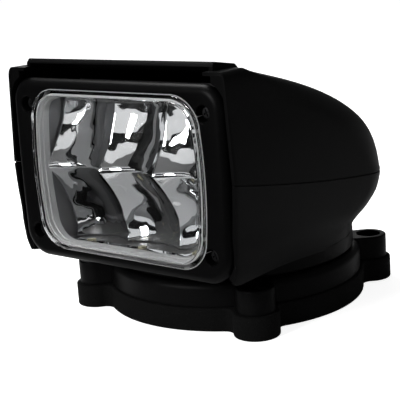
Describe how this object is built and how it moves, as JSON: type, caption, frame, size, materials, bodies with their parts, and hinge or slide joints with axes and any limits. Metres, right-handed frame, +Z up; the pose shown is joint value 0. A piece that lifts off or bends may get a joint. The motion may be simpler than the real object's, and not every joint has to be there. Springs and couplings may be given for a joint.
{
  "type": "marine searchlight",
  "caption": "Remote-controlled marine searchlight: a round base on a foam gasket, a head that pans on it, and a rectangular lamp under a hood that tilts in the head.",
  "frame": {"origin": "on the pan axis, at the underside of the mounting gasket", "axes": "+Z up along the pan axis, the lens faces -Y, +X to the light's left-hand side seen from behind"},
  "size_m": [0.1752, 0.1973, 0.1658],
  "materials": {
    "black_plastic": "satin",
    "bezel_plastic": "satin",
    "black_foam": "matte",
    "seal_rubber": "matte",
    "white_acetal": "satin",
    "gear_acetal": "satin",
    "clear_plastic": "polished",
    "chrome": "polished",
    "cast_aluminium": "matte",
    "stainless": "satin",
    "sheet_steel": "satin",
    "motor_steel": "satin",
    "board_green": "satin",
    "board_white": "satin",
    "emitter_yellow": "satin",
    "gland_nylon": "satin"
  },
  "bodies": {
    "base": {"mounting_gasket": "black_foam", "base_housing": "black_plastic", "base_cover": "black_plastic", "cover_screw_1": "stainless", "cover_screw_2": "stainless", "cover_screw_3": "stainless", "cover_screw_4": "stainless", "cable_gland": "gland_nylon", "gland_nut": "gland_nylon", "pan_gear": "gear_acetal", "gear_nut": "stainless", "thrust_washer": "white_acetal", "base_seal": "seal_rubber"},
    "head": {"lower_shell": "black_plastic", "upper_shell": "black_plastic", "shell_seal": "seal_rubber", "shell_screw_1": "stainless", "shell_screw_2": "stainless", "shell_screw_3": "stainless", "shell_screw_4": "stainless", "pan_bush": "white_acetal", "yoke": "sheet_steel", "yoke_screw_1": "stainless", "yoke_screw_2": "stainless", "trunnion_bush_left": "white_acetal", "trunnion_bush_right": "white_acetal", "tilt_bracket": "sheet_steel", "tilt_gearbox": "motor_steel", "tilt_motor": "motor_steel", "motor_bracket": "sheet_steel", "pan_gearbox": "motor_steel", "pan_motor": "motor_steel", "control_board": "board_green"},
    "pan_pinion": {"pan_pinion": "stainless"},
    "tilt_pinion": {"tilt_pinion": "stainless"},
    "lamp": {"bezel": "bezel_plastic", "bezel_screw_1": "stainless", "bezel_screw_2": "stainless", "bezel_screw_3": "stainless", "bezel_screw_4": "stainless", "lens": "clear_plastic", "lens_gasket": "seal_rubber", "reflector": "chrome", "led_board_upper": "board_white", "led_upper_1": "emitter_yellow", "led_upper_2": "emitter_yellow", "led_upper_3": "emitter_yellow", "led_board_lower": "board_white", "led_lower_1": "emitter_yellow", "led_lower_2": "emitter_yellow", "led_lower_3": "emitter_yellow", "lamp_body": "cast_aluminium", "heat_sink": "cast_aluminium", "tilt_sector": "gear_acetal", "trunnion_pin_left": "stainless", "trunnion_pin_right": "stainless"}
  },
  "joints": [
    {"name": "pan", "type": "hinge", "parent": "base", "child": "head", "pos_m": [0, 0, 0.045], "axis": [0, 0, 1], "range_deg": [-180, 180]},
    {"name": "pan_pinion_spin", "type": "hinge", "parent": "head", "child": "pan_pinion", "pos_m": [0, 0.03, 0.05], "axis": [0, 0, 1], "range_deg": [-545, 545]},
    {"name": "tilt", "type": "hinge", "parent": "head", "child": "lamp", "pos_m": [0, -0.088, 0.1], "axis": [1, 0, 0], "range_deg": [-20, 20]},
    {"name": "tilt_pinion_spin", "type": "hinge", "parent": "head", "child": "tilt_pinion", "pos_m": [-0.0699, -0.0355, 0.1], "axis": [1, 0, 0], "range_deg": [-121, 121]}
  ],
  "couplings": [
    {"joint": "pan_pinion_spin", "follows": "pan", "ratio": 3},
    {"joint": "tilt_pinion_spin", "follows": "tilt", "ratio": -6}
  ]
}
